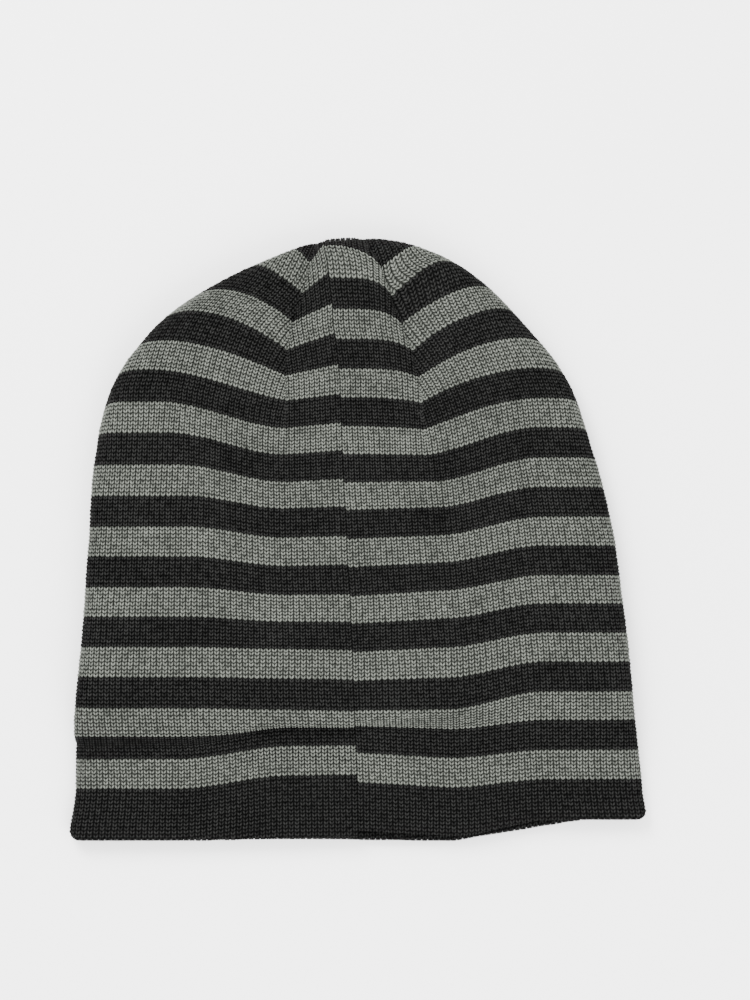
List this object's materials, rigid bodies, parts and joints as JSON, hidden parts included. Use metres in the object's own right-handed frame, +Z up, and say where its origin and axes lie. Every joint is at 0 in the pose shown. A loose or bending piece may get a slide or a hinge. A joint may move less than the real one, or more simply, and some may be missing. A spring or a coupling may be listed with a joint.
{
  "type": "knit beanie",
  "caption": "Close-fitting striped knit beanie with a turned-in hem, a back seam and a darted crown, laid flat.",
  "frame": {"origin": "middle of the footprint, on the table that the hat lies on", "axes": "+X across the brim, +Y from the brim to the crown, +Z up from the table, out of the side with the back seam"},
  "size_m": [0.217, 0.231, 0.018],
  "materials": {
    "charcoal_yarn": "matt stockinette, charcoal",
    "grey_yarn": "matt stockinette, sage grey",
    "sewing_thread": "matt black thread"
  },
  "bodies": {
    "root": {"band_01_charcoal": "charcoal_yarn", "band_02_grey": "grey_yarn", "band_03_charcoal": "charcoal_yarn", "band_04_grey": "grey_yarn", "band_05_charcoal": "charcoal_yarn", "band_06_grey": "grey_yarn", "band_07_charcoal": "charcoal_yarn", "band_08_grey": "grey_yarn", "band_09_charcoal": "charcoal_yarn", "band_10_grey": "grey_yarn", "band_11_charcoal": "charcoal_yarn", "band_12_grey": "grey_yarn", "band_13_charcoal": "charcoal_yarn", "band_14_grey": "grey_yarn", "band_15_charcoal": "charcoal_yarn", "band_16_grey": "grey_yarn", "band_17_charcoal": "charcoal_yarn", "band_18_grey": "grey_yarn", "band_19_charcoal": "charcoal_yarn", "band_20_grey": "grey_yarn", "band_21_charcoal": "charcoal_yarn", "band_22_grey": "grey_yarn", "hem_facing": "charcoal_yarn", "back_seam": "charcoal_yarn", "back_dart_right": "charcoal_yarn", "front_dart_right": "charcoal_yarn", "side_dart_right": "charcoal_yarn", "back_dart_left": "charcoal_yarn", "front_dart_left": "charcoal_yarn", "side_dart_left": "charcoal_yarn", "back_seam_overlock": "sewing_thread", "back_dart_right_overlock": "sewing_thread", "front_dart_right_overlock": "sewing_thread", "side_dart_right_overlock": "sewing_thread", "back_dart_left_overlock": "sewing_thread", "front_dart_left_overlock": "sewing_thread", "side_dart_left_overlock": "sewing_thread", "hem_tack": "sewing_thread", "crown_tack": "sewing_thread"}
  },
  "joints": []
}
